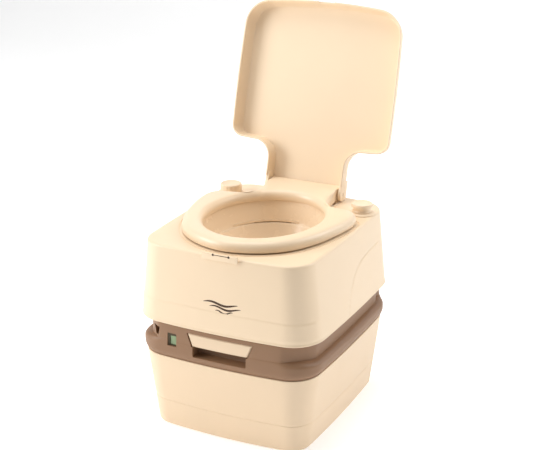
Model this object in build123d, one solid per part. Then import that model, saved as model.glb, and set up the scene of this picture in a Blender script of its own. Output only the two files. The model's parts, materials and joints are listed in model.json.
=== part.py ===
from build123d import *
import os
from math import cos, radians, sin, sqrt

# Portable camp toilet with a piston flush. All sizes are millimetres.
# Frame: origin at the centre of the underside, +Z up, front at -Y, +X to the right seen from the front.
# Rest state: lid open on its stop, seat down, flush unit seated, valve closed, pump down, caps on.

# ---- driving dimensions: plan outlines as (half width, half depth, corner radius) ----
FRONT_BOW = 11.7            # how far the front and back bow out
SIDE_BOW = 5.5              # how far the sides bow out
WALL = 3.0                  # wall of every moulded shell
BASE_PLAN = (165.0, 190.0, 40.0)
TUB_TOP_PLAN = (184.5, 209.5, 61.0)
BAND_LOW_PLAN = (188.0, 213.0, 64.0)
BAND_TOP_PLAN = (187.0, 210.5, 63.0)
GROOVE_PLAN = (176.0, 210.4, 76.0)
LIP_PLAN = (191.5, 213.5, 64.0)
DECK_PLAN = (175.0, 207.3, 54.0)
DECK_EDGE = 2.2             # rounding of the deck's edge

# ---- levels ----
Z_SEAM = 156.5              # underside of the brown half
Z_TANK_DECK = 219.0         # top face of the holding tank's deck
Z_RIM = 226.7               # top of the holding tank's rim
Z_LIP = 227.0               # underside of the flush unit
Z_DECK = 381.0              # deck of the flush unit
Z_SEAT_LOW = 384.0
Z_SEAT_TOP = 404.0
Z_TOP_OF_HOLLOW = 397.0      # ceiling of the seat's hollow underside
Z_TAB_TOP = 409.5
Z_LID_INNER = 411.0
Z_LID_TOP = 414.0
CLEAR = 0.3                 # gap between pieces of different bodies
RUN = 0.06                  # radial running clearance of a pin or shaft

# ---- hinge of the lid and seat ----
HINGE_Y = 173.7
HINGE_Z = 396.2
LID_OPEN_DEG = 105.6
PIN_R = 4.0
EAR_X = (50.0, 66.0)
TAB_X = (70.0, 76.0)
ARM_X = (79.0, 85.0)
TAB_REAR = 188.0
LID_PANEL_REAR = 160.5
ARM_TAIL = 184.0
WELL = (78.0, 150.0, 190.8, 371.0)      # half width, front, back, floor

# ---- places ----
FRONT_X = 4.0               # the front fittings sit this far right of the centre plane
PUMP = (146.0, 127.0)
FILL = (-146.0, 127.0)
VENT = (-130.0, 120.0)
SPOUT = (130.0, 185.0, 195.0)           # swivel's axis and the tube's height
SPOUT_MOUTH = 31.0
TROUGH_X = (-17.0, 151.0)
FLOAT_X = -98.0
FLOAT_PIVOT = (-170.0, 196.0)

# ---- valve ----
OPEN_R = 48.0               # waste opening
BLADE_HALF = 55.0
BLADE_Z = (206.0, 209.0)
BLADE_REAR = 52.0
POCKET = (64.3, -185.0, 64.3)           # half width, front, back of the valve's pocket
BAY_REAR = -188.0

# ---- rear coupling clip ----
CLIP_PIN = (210.5, 255.0)
CLIP_HALF = 15.0


# ---------------------------------------------------------------- helpers
def plan_face(plan, inset=0.0):
    """Rounded rectangle whose four sides bow outwards, drawn on the XY plane."""
    half_width, half_depth, corner = plan
    half_width -= inset
    half_depth -= inset
    x = half_width - SIDE_BOW
    y = half_depth - FRONT_BOW
    edges = [
        Edge.make_three_point_arc((-x, -y), (0, -half_depth), (x, -y)),
        Edge.make_three_point_arc((x, -y), (half_width, 0), (x, y)),
        Edge.make_three_point_arc((x, y), (0, half_depth), (-x, y)),
        Edge.make_three_point_arc((-x, y), (-half_width, 0), (-x, -y)),
    ]
    face = Face(Wire(edges))
    return face.fillet_2d(corner - inset, face.vertices())


def tapered(*sections):
    """Solid through plan outlines, each given as (z, plan, inset)."""
    wires = [(Pos(0, 0, z) * plan_face(plan, inset)).outer_wire() for z, plan, inset in sections]
    return Solid.make_loft(wires, True)


def prism(plan, inset, low, high):
    return extrude(Pos(0, 0, low) * plan_face(plan, inset), amount=high - low)


def block(x, y, z):
    """Box from three (low, high) pairs."""
    size = [high - low for low, high in (x, y, z)]
    middle = [(high + low) / 2 for low, high in (x, y, z)]
    return Pos(*middle) * Box(*size)


def upright(x, y, radius, low, high):
    return Pos(x, y, (low + high) / 2) * Cylinder(radius, high - low)


def along_x(radius, x, y, z):
    return Pos((x[0] + x[1]) / 2, y, z) * Rot(0, 90, 0) * Cylinder(radius, x[1] - x[0])


def along_y(radius, x, y, z):
    return Pos(x, (y[0] + y[1]) / 2, z) * Rot(90, 0, 0) * Cylinder(radius, y[1] - y[0])


def tube(x, y, inner, outer, low, high):
    return upright(x, y, outer, low, high) - upright(x, y, inner, low - 1, high + 1)


def revolved(points, x, y):
    """Solid of revolution about a vertical axis through (x, y), from (radius, z) points."""
    profile = Plane.XZ * make_face(Polyline(*points, close=True))
    return Pos(x, y, 0) * revolve(profile, Axis.Z)


def spring(x, y, low, high, radius, wire, turns):
    """Round coil spring standing on Z."""
    pitch = (high - low - wire) / turns
    path = Pos(x, y, low + wire / 2) * Helix(pitch, high - low - wire, radius)
    profile = Plane(origin=path @ 0, z_dir=path % 0) * Circle(wire / 2)
    return sweep(profile, path=path)


def ellipse_wire(z, centre_y, half_width, half_depth):
    return (Pos(0, centre_y, z) * Ellipse(half_width, half_depth)).face().outer_wire()


def save(name, shape):
    export_step(shape, os.path.join("parts", name + ".step"))


# ---------------------------------------------------------------- holding tank
def make_tank_lower():
    """Beige tub that stands on the floor."""
    outer = tapered((0, BASE_PLAN, 2.5), (2.5, BASE_PLAN, 0), (Z_SEAM, TUB_TOP_PLAN, 0))
    inner = tapered((WALL, BASE_PLAN, WALL + 0.3), (Z_SEAM + 1, TUB_TOP_PLAN, WALL))
    return outer - inner


def handle_section(top_half, low_half, low, high):
    """Trapezoid in the XZ plane, wider at the top, about the front fittings' centre."""
    points = [
        (FRONT_X - low_half, low),
        (FRONT_X + low_half, low),
        (FRONT_X + top_half, high),
        (FRONT_X - top_half, high),
    ]
    return make_face(Polyline(*points, close=True))


def along_front(section, front, rear):
    """Extrudes an XZ section from y = front to y = rear."""
    return extrude(Pos(0, rear, 0) * (Plane.XZ * section), amount=rear - front)


def make_tank_upper():
    """Brown half: band, deck, valve pocket, handle bay, grip grooves and spout trough."""
    band = tapered((Z_SEAM, BAND_LOW_PLAN, 2.0), (Z_SEAM + 4, BAND_LOW_PLAN, 0), (Z_RIM, BAND_TOP_PLAN, 0))
    groove_zone = block((-200, 200), (-214, 140), (203, Z_RIM + 1))
    band -= groove_zone - prism(GROOVE_PLAN, 0, 202, Z_RIM + 2)
    deck_under = Z_TANK_DECK - WALL
    low_cavity = tapered((Z_SEAM + WALL, BAND_LOW_PLAN, WALL + 1), (200, BAND_TOP_PLAN, WALL + 1))
    high_cavity = prism(GROOVE_PLAN, WALL, 199.5, deck_under)
    rest_ring = prism(BAND_LOW_PLAN, 12, Z_SEAM - 1, Z_SEAM + WALL + 1)
    recess = prism(GROOVE_PLAN, WALL, Z_TANK_DECK, Z_RIM + 1)
    shell = band - low_cavity - high_cavity - rest_ring - recess

    pocket_half, pocket_front, pocket_rear = POCKET
    floor = BLADE_Z[0] - 7
    pocket_walls = ((-pocket_half - WALL, pocket_half + WALL), (-200, pocket_rear + WALL))
    pocket_outer = block(*pocket_walls, (floor - WALL, Z_TANK_DECK))
    within_band = prism(BAND_TOP_PLAN, 0.5, 165, 220)
    bay_outer = block((FRONT_X - 73, FRONT_X + 73), (-214, BAY_REAR + WALL), (168, Z_TANK_DECK)) & within_band
    trough_outer = block((TROUGH_X[0] - WALL, TROUGH_X[1] + WALL), (162, 214), (174, Z_TANK_DECK)) & within_band
    clip_back = block((-23, 23), (200, 208), (Z_TANK_DECK - 4, Z_RIM))
    shell += pocket_outer + bay_outer + trough_outer + clip_back

    shell -= block((-pocket_half, pocket_half), (pocket_front, pocket_rear), (floor, Z_RIM + 1))
    shell -= upright(0, 0, OPEN_R + 2, floor - WALL - 1, floor + 1)
    shell -= along_front(handle_section(69.5, 59.0, 190.4, 218.0), -220, BAY_REAR)
    shell -= block((FRONT_X - 56, FRONT_X + 56), (-220, BAY_REAR), (171, 192))
    slot_half = BLADE_HALF + 0.4
    shell -= block((-slot_half, slot_half), (-192, pocket_front + 1), (BLADE_Z[0] - 0.3, BLADE_Z[1] + 0.3))
    shell -= block(TROUGH_X, (165, 230), (177, Z_TANK_DECK - WALL))
    shell -= block((-20, 20), (208, 220), (170, Z_RIM + 1))
    shell -= upright(SPOUT[0], SPOUT[1], 12 + RUN, 170, 178)

    # vent cup in the deck, window opening, tapered recess beside the window, float lugs
    shell += upright(*VENT, 14, 206, Z_TANK_DECK)
    shell -= upright(*VENT, 11, 209, Z_TANK_DECK + 1)
    shell -= upright(*VENT, 3 + RUN, 200, 210)
    shell -= block((-108, -88), (-220, -200), (183, 209))
    shell += block((-142, -124), (-204, -192), (196, 218)) & prism(BAND_TOP_PLAN, 1, 190, 220)
    tapered_recess = make_face(Polyline((-136, 199), (-130, 199), (-127, 215), (-139, 215), close=True))
    shell -= along_front(tapered_recess, -220, -199)
    for x in (FLOAT_X - 11, FLOAT_X + 7):
        lug_y = (FLOAT_PIVOT[0] - 6, FLOAT_PIVOT[0] + 6)
        shell += block((x, x + 4), lug_y, (FLOAT_PIVOT[1] - 6, Z_TANK_DECK - 1))
    shell -= along_x(2 + RUN, (FLOAT_X - 12, FLOAT_X + 12), *FLOAT_PIVOT)
    return shell


def make_valve():
    """Slide valve under the bowl: lower guide, cover, blade, seals and screws."""
    half, front, rear = POCKET
    half -= 0.2
    body = block((-half, half), (front + 0.2, rear - 0.2), (BLADE_Z[0] - 7, BLADE_Z[1] + 0.3))
    guide_half = BLADE_HALF + 0.3
    body -= block((-guide_half, guide_half), (front - 1, BLADE_REAR + 0.6), (BLADE_Z[0] - 0.05, 230))
    body -= upright(0, 0, OPEN_R, 190, 215)
    cover_low = BLADE_Z[1] + 0.3
    cover = block((-half, half), (front + 0.2, rear - 0.2), (cover_low, cover_low + 4))
    cover -= upright(0, 0, OPEN_R, 200, 220)
    spots = [(x * 59.5, y) for x in (-1, 1) for y in (-150, -85, -20, 45)]
    for x, y in spots:
        cover -= upright(x, y, 1.9, 200, 220)
        body -= upright(x, y, 1.7, 203, 215)
    blade = block((-BLADE_HALF, BLADE_HALF), (-202, BLADE_REAR), BLADE_Z)
    blade = fillet(blade.edges().filter_by(Axis.Z).group_by(Axis.Y)[-1], 20)
    wiper = tube(0, 0, OPEN_R, OPEN_R + 4, BLADE_Z[0] - 1.6, BLADE_Z[0] - 0.1)
    body -= tube(0, 0, OPEN_R, OPEN_R + 4, BLADE_Z[0] - 1.6, BLADE_Z[0] + 0.5)
    lip_foot = [(OPEN_R, cover_low + 4), (OPEN_R + 9, cover_low + 4)]
    lip = revolved(lip_foot + [(OPEN_R + 9, 217), (OPEN_R + 5, 221.4), (OPEN_R + 1, 221.4)], 0, 0)
    screws = []
    for x, y in spots:
        shank = upright(x, y, 1.65, 203.5, cover_low + 4)
        screws.append(shank + upright(x, y, 3.2, cover_low + 4, cover_low + 6))
    return {
        "valve_body": body,
        "valve_cover": cover,
        "valve_blade": blade,
        "blade_seal": wiper,
        "lip_seal": lip,
        "valve_screws": Compound(children=screws),
    }


def make_valve_handle(blade):
    """Pull bar on the front, with the neck that holds the blade."""
    front = BAND_LOW_PLAN[1]
    grip = along_front(handle_section(68.0, 57.5, 191.6, 216.8), -front, -204)
    bowed = tapered((180, BAND_LOW_PLAN, 0.8), (230, BAND_TOP_PLAN, 0))
    grip &= bowed
    grip -= along_front(handle_section(60.0, 52.0, 180, 200), -208.5, -190)
    neck = block((-44, 44), (-206, -191.5), (202.5, 212.5))
    return grip + neck - blade


def make_spout():
    """Pour-out spout that swings about a vertical axis, with its swivel seal, cap and gasket."""
    x, y, z = SPOUT
    spout = upright(x, y, 12, 168, z) + Pos(x, y, z) * Sphere(13.5) + along_x(13.5, (SPOUT_MOUTH, x), y, z)
    spout += upright(x, y, 17, 180, 183)
    spout -= upright(x, y, 9.5, 160, z) + Pos(x, y, z) * Sphere(10.0)
    spout -= along_x(10.5, (SPOUT_MOUTH - 10, x), y, z)
    seal = tube(x, y, 12 + RUN, 16.5, 177, 179.8)
    gasket = along_x(13.2, (SPOUT_MOUTH - 2.6, SPOUT_MOUTH - 0.3), y, z)
    cap = along_x(17, (SPOUT_MOUTH - 6, SPOUT_MOUTH + 16), y, z)
    cap -= along_x(14, (SPOUT_MOUTH - 2.7, SPOUT_MOUTH + 20), y, z)
    for turn in range(0, 360, 30):
        groove_y = y + 17.6 * cos(radians(turn))
        groove_z = z + 17.6 * sin(radians(turn))
        cap -= along_x(1.6, (SPOUT_MOUTH - 7, SPOUT_MOUTH + 12), groove_y, groove_z)
    return {"spout": spout, "spout_seal": seal, "spout_cap": cap, "spout_cap_gasket": gasket}


def make_vent():
    """Air valve pressed while pouring: button with stem, spring and rubber disc."""
    button = upright(*VENT, 9.5, 221.5, 225.5) + upright(*VENT, 3, 200, 222)
    coil = spring(*VENT, 209.05, 221.4, 6.5, 0.9, 5)
    disc = tube(*VENT, 3, 8, 202, 205.7)
    return {"vent_button": button, "vent_spring": coil, "vent_seal": disc}


def make_level_gauge():
    """Window in the band with the float lever behind it."""
    window = block((-107.9, -88.1), (-209, -206), (183.1, 208.9))
    pivot_y, pivot_z = FLOAT_PIVOT
    arm = along_x(5, (FLOAT_X - 6, FLOAT_X + 6), pivot_y, pivot_z)
    arm += block((FLOAT_X - 3, FLOAT_X + 3), (-198, pivot_y), (pivot_z - 2, pivot_z + 2))
    arm += block((FLOAT_X - 3, FLOAT_X + 3), (pivot_y, -112), (pivot_z - 2, pivot_z + 2))
    arm += block((FLOAT_X - 3, FLOAT_X + 3), (-114, -108), (pivot_z - 16, pivot_z + 2))
    arm += block((FLOAT_X - 8, FLOAT_X + 8), (-200, -197), (186, 206))
    arm -= along_x(2 + RUN, (FLOAT_X - 9, FLOAT_X + 9), pivot_y, pivot_z)
    ball = fillet(upright(FLOAT_X, -111, 17, pivot_z - 36, pivot_z - 16).edges(), 5)
    pin = along_x(2, (FLOAT_X - 12, FLOAT_X + 12), pivot_y, pivot_z)
    return {"level_window": window, "float_arm": arm, "float": ball, "float_pin": pin}


# ---------------------------------------------------------------- flush unit
def lid_keep(inset):
    """Plan of the lid's rear: two lobes, concave notches and a neck, as a tall solid."""
    side, neck = 177.0 - inset, ARM_X[1] - inset
    rear = 82.0 - inset
    points = [(-side, -240), (side, -240), (side, rear), (neck, rear + 5), (neck, 230)]
    points += [(-neck, 230), (-neck, rear + 5), (-side, rear)]
    radii = [1, 1, 20, 34 + inset, 1, 1, 34 + inset, 20]
    outline = FilletPolyline(*points, radius=radii, close=True)
    return extrude(Pos(0, 0, 370) * make_face(outline), amount=60)


def make_flush_shell():
    """Beige outer shell of the flush tank: walls, deck, hinge well and ears, clip pocket, bosses."""
    lip_edge = ((Z_LIP, LIP_PLAN, 1.5), (Z_LIP + 2, LIP_PLAN, 0))
    outer = tapered(*lip_edge, (Z_DECK - DECK_EDGE, DECK_PLAN, 0), (Z_DECK, DECK_PLAN, DECK_EDGE))
    inner = tapered((Z_LIP - 1, LIP_PLAN, WALL), (Z_DECK - WALL, DECK_PLAN, WALL))
    shell = outer - inner
    half, front, rear, floor = WELL
    shell += block((-half - WALL, half + WALL), (front - WALL, rear + WALL), (floor - WALL, Z_DECK))
    shell -= block((-half, half), (front, rear), (floor, Z_DECK + 1))
    for side in (-1, 1):
        ear_x = sorted((side * EAR_X[0], side * EAR_X[1]))
        shell += block(ear_x, (HINGE_Y - 6.3, HINGE_Y + 6.3), (floor - 1, HINGE_Z))
        shell += along_x(9, ear_x, HINGE_Y, HINGE_Z)
    shell -= along_x(PIN_R, (-90, 90), HINGE_Y, HINGE_Z)

    shell += block((-24, 24), (202, 212.4), (Z_LIP + 5, 266)) & outer
    shell -= block((-20, 20), (207.6, 220), (Z_LIP - 1, 262))
    shell -= along_x(2, (-23, 23), *CLIP_PIN)

    latch_slot = block((FRONT_X - 34, FRONT_X + 34), (-215, -200), (368.5, 378))
    latch_box = block((FRONT_X - 37, FRONT_X + 37), (-208, -192), (365.5, Z_DECK - 1))
    shell += latch_box & outer
    shell -= block((FRONT_X - 34, FRONT_X + 34), (-205, -195), (368.5, 378)) + latch_slot

    shell -= bowl_outer_solid(0)
    shell -= upright(*PUMP, 14.0, 370, 390)
    shell -= upright(*FILL, 17.0, 370, 390)
    return shell


def bowl_outer_solid(grow):
    """Outside of the bowl, from the deck down to the outlet neck."""
    upper = Solid.make_loft([
        ellipse_wire(336, -8, 111 + grow, 131 + grow),
        ellipse_wire(Z_DECK, -12, 122 + grow, 143 + grow),
        ellipse_wire(Z_DECK + 2, -12, 122.2 + grow, 143.2 + grow),
    ], True)
    lower = Solid.make_loft([
        ellipse_wire(246, 0, OPEN_R + WALL + grow, OPEN_R + WALL + grow),
        ellipse_wire(290, -4, 84 + grow, 98 + grow),
        ellipse_wire(336, -8, 111 + grow, 131 + grow),
    ], False)
    neck = upright(0, 0, OPEN_R + WALL + grow, 221.7, 246.5)
    return upper + lower + neck


def make_bowl():
    outer = bowl_outer_solid(0)
    outer &= block((-200, 200), (-200, 200), (220, Z_DECK))
    upper = Solid.make_loft([
        ellipse_wire(335.9, -8, 108, 128),
        ellipse_wire(Z_DECK + 1, -12, 119, 140),
    ], True)
    lower = Solid.make_loft([
        ellipse_wire(246, 0, OPEN_R, OPEN_R),
        ellipse_wire(290, -4, 80.5, 94.5),
        ellipse_wire(336, -8, 105.5, 125.5),
    ], False)
    bowl = outer - upper - lower - upright(0, 0, OPEN_R, 220, 246.5)
    return bowl - block((-62, 2), (100, 140), (337.5, 341))


def make_flush_base():
    plate = tapered((Z_LIP, LIP_PLAN, WALL + 0.35), (Z_LIP + WALL, LIP_PLAN, WALL + 0.7))
    plate += tube(0, 0, OPEN_R + WALL + 0.1, OPEN_R + 2 * WALL, Z_LIP, 240)
    plate -= upright(0, 0, OPEN_R + WALL + 0.1, Z_LIP - 1, 245)
    return plate - block((-24.2, 24.2), (201.8, 220), (220, 240))


def make_pump():
    """Piston pump: knob, rod, piston and seal lift out of the fixed cylinder."""
    x, y = PUMP
    collar = tube(x, y, 5 + RUN, 27, Z_DECK, 385)
    collar -= tube(x, y, 24.5, 27.5, 383.5, 386)
    cylinder = tube(x, y, 12, 14, 240, Z_DECK)
    cylinder -= along_x(3.5, (x - 16, x - 8), y, 255)
    foot = revolved([(0, 234), (12, 234), (16, 240), (12, 240), (12, 237), (0, 237)], x, y)
    foot += tube(x, y, 14, 16, 240, 246)
    flap = upright(x, y, 11, 240.2, 241.7)
    flare = [(0, 385.4), (23.5, 385.4), (23.5, 387), (20.5, 391), (19.4, 396)]
    knob = revolved(flare + [(20, 400.5), (18, 402.5), (0, 402.5)], x, y)
    knob -= upright(x, y, 5, 380, 397)
    rod = upright(x, y, 5, 256, 397)
    piston = tube(x, y, 5, 11.7, 258, 268) - tube(x, y, 10, 12, 261.5, 264.5)
    seal = tube(x, y, 10, 11.95, 261.5, 264.5)
    return {
        "pump_collar": collar,
        "pump_cylinder": cylinder,
        "pump_foot": foot,
        "pump_inlet_flap": flap,
        "pump_knob": knob,
        "pump_rod": rod,
        "pump_piston": piston,
        "pump_seal": seal,
    }


def make_flush_line():
    """Hose from the pump to the nozzle behind the bowl, and the nozzle."""
    start_x = PUMP[0] - 13.9
    points = [(start_x, PUMP[1], 255), (70, 140, 255), (5, 165, 290), (-30, 172, 339), (-30, 141, 339)]
    path = FilletPolyline(*points, radius=[35, 30, 12])
    profile = Plane(origin=path @ 0, z_dir=path % 0) * (Circle(3.4) - Circle(2.2))
    hose = sweep(profile, path=path)
    nozzle = block((-64, 4), (118, 141), (333, 345)) - bowl_outer_solid(0.05)
    nozzle -= block((-60, 0), (110, 136), (337.5, 341)) + along_y(2.5, -30, (130, 142), 339)
    return {"flush_hose": hose, "flush_nozzle": nozzle}


def make_fill():
    """Fill neck with its screw cap and the cap's gasket."""
    x, y = FILL
    neck = tube(x, y, 14.5, 17, 352, 393) + tube(x, y, 16, 27, Z_DECK, 385)
    neck -= tube(x, y, 24.5, 27.5, 383.5, 386)
    gasket = upright(x, y, 16.4, 393.3, 395.3)
    inside = [(0, 395.6), (17.4, 395.6), (17.4, 385.4)]
    cap = revolved(inside + [(22, 385.4), (22, 400.5), (20, 402.5), (0, 402.5)], x, y)
    for turn in range(0, 360, 20):
        cap -= upright(x + 22.7 * cos(radians(turn)), y + 22.7 * sin(radians(turn)), 1.4, 386, 400)
    return {"fill_neck": neck, "fill_cap": cap, "fill_cap_gasket": gasket}


def seat_outline(inset):
    """Seat plan: rounded front, full hips, swept in to the hinge tab."""
    points = [(0, -187), (81, -160), (127, -112), (151, -52), (162, 8), (164, 42), (160, 63), (147, 76)]
    points += [(126, 79.5), (103, 84), (91, 92), (83.5, 103), (79, 118), (76.5, 142)]
    shifted = []
    for index, (x, y) in enumerate(points):
        before = points[max(index - 1, 0)]
        after = points[min(index + 1, len(points) - 1)]
        run = (after[0] - before[0], after[1] - before[1])
        length = sqrt(run[0] ** 2 + run[1] ** 2)
        if index == 0:
            shifted.append((0, y + inset))
        else:
            shifted.append((x - inset * run[1] / length, y + inset * run[0] / length))
    right = Edge.make_spline([Vector(x, y) for x, y in shifted], tangents=[Vector(1, 0), Vector(-0.1, 1)])
    left = right.mirror(Plane.YZ)
    top = Edge.make_line(right @ 1, left @ 1)
    return Face(Wire([right, top, left]))


def make_seat():
    """Seat ring with its hinge tab, hollow underneath."""
    shoulder = Z_SEAT_TOP - 7
    ring = extrude(Pos(0, 0, Z_SEAT_LOW) * seat_outline(0), amount=shoulder - Z_SEAT_LOW)
    levels = ((shoulder, 0), (Z_SEAT_TOP, 7))
    crown = [(Pos(0, 0, z) * seat_outline(inset)).outer_wire() for z, inset in levels]
    ring += Solid.make_loft(crown, True)
    ring -= Pos(0, -13, 390) * extrude(Ellipse(113, 136), amount=40, both=True)
    mouth = [ellipse_wire(shoulder, -13, 113, 136), ellipse_wire(Z_SEAT_TOP + 0.1, -13, 120, 143)]
    ring -= Solid.make_loft(mouth, True)
    hollow = extrude(Pos(0, 0, Z_SEAT_LOW - 1) * seat_outline(4), amount=Z_TOP_OF_HOLLOW - Z_SEAT_LOW + 1)
    hollow -= Pos(0, -13, 390) * extrude(Ellipse(117, 140), amount=40, both=True)
    tab_half = TAB_X[1]
    tab = block((-tab_half, tab_half), (128, TAB_REAR), (386, Z_TAB_TOP))
    ramp = make_face(Polyline((120, Z_SEAT_TOP - 1), (155, Z_TAB_TOP), (155, 420), (120, 420), close=True))
    slope = extrude(Pos(-tab_half, 0, 0) * (Plane.YZ * ramp), amount=2 * tab_half)
    tab -= slope
    tab -= block((-TAB_X[0], TAB_X[0]), (150, TAB_REAR + 1), (380, Z_TAB_TOP - WALL))
    tab -= along_x(PIN_R + RUN, (-90, 90), HINGE_Y, HINGE_Z)
    return ring - hollow + tab


def make_seat_bumpers():
    spots = [(133, -62), (146, 40)]
    pads = []
    for x, y in spots:
        for side in (-1, 1):
            pads.append(upright(side * x, y, 7, Z_DECK + CLEAR, Z_TOP_OF_HOLLOW))
    return Compound(children=pads)


def make_lid():
    """Lid in its closed place: dished cover with lobes, neck and two hinge arms."""
    skirt = ((Z_DECK + 0.7, DECK_PLAN, 0), (404, DECK_PLAN, 4.5), (Z_LID_TOP - 5, DECK_PLAN, 7))
    outer = tapered(*skirt, (Z_LID_TOP - 1.5, DECK_PLAN, 10), (Z_LID_TOP, DECK_PLAN, 14))
    hollow = ((Z_DECK - 1, DECK_PLAN, WALL), (403, DECK_PLAN, WALL + 4.5), (408, DECK_PLAN, WALL + 7.5))
    inner = tapered(*hollow, (Z_LID_INNER, DECK_PLAN, WALL + 13))
    lid = (outer & lid_keep(0)) - (inner & lid_keep(WALL))
    lid -= block((-200, 200), (LID_PANEL_REAR, 250), (370, 420))
    for side in (-1, 1):
        arm_x = sorted((side * ARM_X[0], side * ARM_X[1]))
        arm = block(arm_x, (146, ARM_TAIL), (HINGE_Z, Z_LID_TOP))
        arm += block(arm_x, (146, HINGE_Y), (Z_SEAT_LOW + 0.3, HINGE_Z + 1))
        arm += along_x(14.2, arm_x, HINGE_Y, HINGE_Z)
        lid += arm
    lid -= block((FRONT_X - 18, FRONT_X + 18), (-212, -200), (380, 386.5))
    return lid - along_x(PIN_R + RUN, (-90, 90), HINGE_Y, HINGE_Z)


def make_lid_latch():
    """Latch tab at the deck's front edge and the spring behind it."""
    tab = block((FRONT_X - 39.5, FRONT_X + 39.5), (-211.8, -207.9), (368, 387))
    tab = fillet(tab.edges().filter_by(Axis.Y), 3)
    tab -= block((FRONT_X - 17, FRONT_X + 17), (-210.6, -209.4), (384.5, 388))
    for side in (-1, 1):
        tab -= upright(FRONT_X + side * 17, -210, 1.3, 382, 388)
    tongue = block((FRONT_X - 12, FRONT_X + 12), (-209, -202.5), (369.5, 377))
    coil = Rot(90, 0, 0) * spring(FRONT_X, 373.2, 195.2, 202.3, 2.6, 0.6, 4)
    return {"lid_latch": tab + tongue, "lid_latch_spring": coil}


def make_clip():
    """Rear clip that holds the two halves together, and its pin."""
    pin_y, pin_z = CLIP_PIN
    half = CLIP_HALF
    clip = along_x(2.7, (-half, half), pin_y, pin_z)
    clip += block((-half, half), (208.4, 212.3), (205, pin_z))
    nose = make_face(Polyline((208.5, 209.0), (206.9, 212.5), (206.9, 215.5), (208.5, 215.5), close=True))
    clip += extrude(Pos(-half, 0, 0) * (Plane.YZ * nose), amount=2 * half)
    clip -= along_x(2 + RUN, (-20, 20), pin_y, pin_z)
    pin = along_x(2, (-23, 23), pin_y, pin_z)
    return {"coupling_clip": clip, "coupling_clip_pin": pin}


def opened(lid):
    """Turns the closed lid about the hinge pins to its rest place."""
    hinge = Axis((0, HINGE_Y, HINGE_Z), (-1, 0, 0))
    return lid.rotate(hinge, LID_OPEN_DEG)


def main():
    os.makedirs("parts", exist_ok=True)
    nodes = {
        "holding_tank_lower": make_tank_lower(),
        "holding_tank_upper": make_tank_upper(),
        "flush_tank_shell": make_flush_shell(),
        "flush_tank_base": make_flush_base(),
        "bowl": make_bowl(),
        "seat": make_seat(),
        "seat_bumpers": make_seat_bumpers(),
        "lid": opened(make_lid()),
    }
    nodes.update(make_valve())
    nodes["valve_handle"] = make_valve_handle(nodes["valve_blade"])
    tank_fittings = (make_spout, make_vent, make_level_gauge)
    flush_fittings = (make_pump, make_flush_line, make_fill, make_lid_latch, make_clip)
    for group in tank_fittings + flush_fittings:
        nodes.update(group())
    for side, name in ((-1, "hinge_pin_left"), (1, "hinge_pin_right")):
        pin_x = sorted((side * EAR_X[0], side * (ARM_X[1] - 0.5)))
        nodes[name] = along_x(PIN_R, pin_x, HINGE_Y, HINGE_Z)
    for name, shape in nodes.items():
        save(name, shape)


main()
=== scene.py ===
import json
import math

import bpy
import bmesh
import numpy as np
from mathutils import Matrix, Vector


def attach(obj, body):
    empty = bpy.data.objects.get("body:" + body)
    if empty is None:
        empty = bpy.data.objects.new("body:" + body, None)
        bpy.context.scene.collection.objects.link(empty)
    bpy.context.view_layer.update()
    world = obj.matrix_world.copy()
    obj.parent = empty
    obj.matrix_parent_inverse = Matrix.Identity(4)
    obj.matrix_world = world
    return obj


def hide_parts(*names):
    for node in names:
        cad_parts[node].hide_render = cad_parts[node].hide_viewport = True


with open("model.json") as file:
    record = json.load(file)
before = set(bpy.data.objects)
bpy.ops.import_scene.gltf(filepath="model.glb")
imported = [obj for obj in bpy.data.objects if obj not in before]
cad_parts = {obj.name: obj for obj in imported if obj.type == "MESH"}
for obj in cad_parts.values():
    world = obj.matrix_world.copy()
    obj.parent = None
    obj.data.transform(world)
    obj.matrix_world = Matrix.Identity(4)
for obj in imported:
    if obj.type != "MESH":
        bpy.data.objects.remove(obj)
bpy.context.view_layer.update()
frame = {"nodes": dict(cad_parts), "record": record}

# Sizes are millimetres in the model's own frame. Every mesh is scaled to metres when it is made.
MM = 0.001

# ---- plan outlines: half width, half depth, corner radius ----
FRONT_BOW = 11.7
SIDE_BOW = 5.5
BASE_PLAN = (165.0, 190.0, 40.0)
TUB_TOP_PLAN = (184.5, 209.5, 61.0)
BAND_LOW_PLAN = (188.0, 213.0, 64.0)
BAND_TOP_PLAN = (187.0, 210.5, 63.0)
GROOVE_PLAN = (176.0, 210.4, 76.0)
LIP_PLAN = (191.5, 213.5, 64.0)
DECK_PLAN = (175.0, 207.3, 54.0)
WALL = 3.0
OPEN_R = 48.0                   # bowl outlet and the valve's opening
QUARTER = (26, 26, 34)          # points on half the front, a corner and half a side
FRONT_ZONE = -150.0             # the front of an outline lies below this y

# ---- levels ----
Z_SEAM = 156.5
Z_TANK_DECK = 219.0
Z_RIM = 226.7
Z_LIP = 227.0
Z_DECK = 381.0
Z_SEAT_LOW = 384.0
Z_SEAT_TOP = 404.0
Z_TAB_TOP = 409.5
Z_LID_LOW = 381.7
Z_LID_INNER = 411.0
Z_LID_TOP = 414.0

# ---- hinge ----
HINGE_Y = 173.7
HINGE_Z = 396.2
LID_OPEN = math.radians(105.6)
PIN_R = 4.06
ARM_X = (79.0, 85.0)
PANEL_REAR = 160.5

# ---- places of fittings ----
FRONT_X = 4.0                   # middle of the handle, latch and recesses
BOWL_Y = -12.0                  # centre of the bowl's rim
LEDGE_Y = -8.0                  # centre of the bowl below its ledge
PUMP = (146.0, 127.0)
FILL = (-146.0, 127.0)
VENT = (-130.0, 120.0)
SPOUT = (130.0, 185.0, 195.0)
SPOUT_MOUTH = 31.0
WINDOW_X = (-107.6, -88.4)
WINDOW_Z = (183.4, 208.6)
TAB_HALF = 76.0
TAB_REAR = 188.0


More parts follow.
